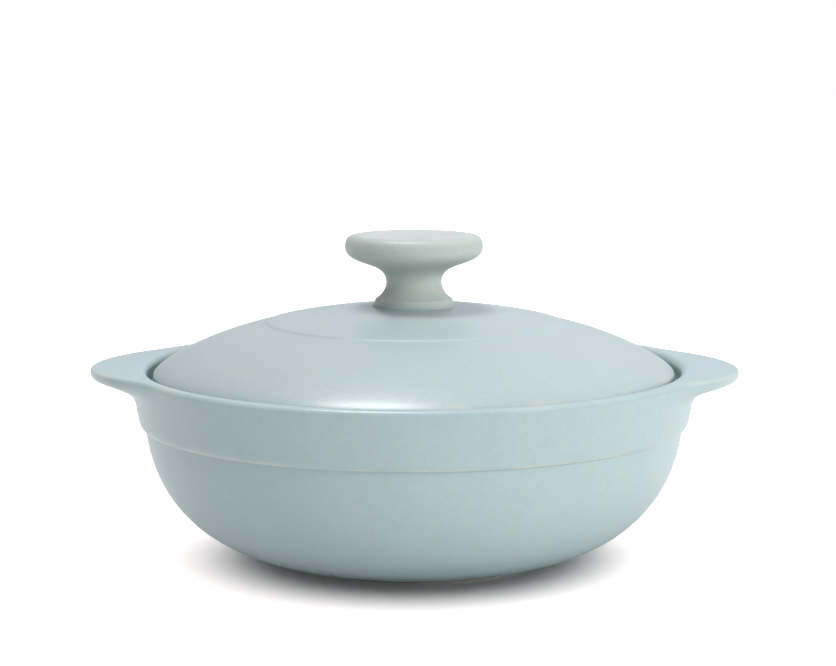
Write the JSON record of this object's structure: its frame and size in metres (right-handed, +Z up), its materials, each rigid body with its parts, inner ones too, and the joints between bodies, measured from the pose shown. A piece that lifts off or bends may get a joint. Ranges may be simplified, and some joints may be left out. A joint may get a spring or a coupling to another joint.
{
  "type": "lidded cooking pot",
  "caption": "Round glazed porcelain cooking pot with a banded rim, a flat lug on each side, and a low domed lid with a disc knob that lifts off its recessed seat.",
  "frame": {"origin": "centre of the foot ring's underside, on the table", "axes": "+Z up along the pot's axis, +X out through one lug, +Y across the lugs, away from the front"},
  "size_m": [0.2888, 0.252, 0.1444],
  "materials": {
    "blue_glaze": "satin"
  },
  "bodies": {
    "pot": {"pot_bowl": "blue_glaze", "left_handle_lug": "blue_glaze", "right_handle_lug": "blue_glaze"},
    "lid": {"lid_shell": "blue_glaze", "lid_knob": "blue_glaze"}
  },
  "joints": [
    {"name": "lid_lift", "type": "slide", "parent": "pot", "child": "lid", "axis": [0, 0, 1], "range_m": [0, 0.12]}
  ]
}
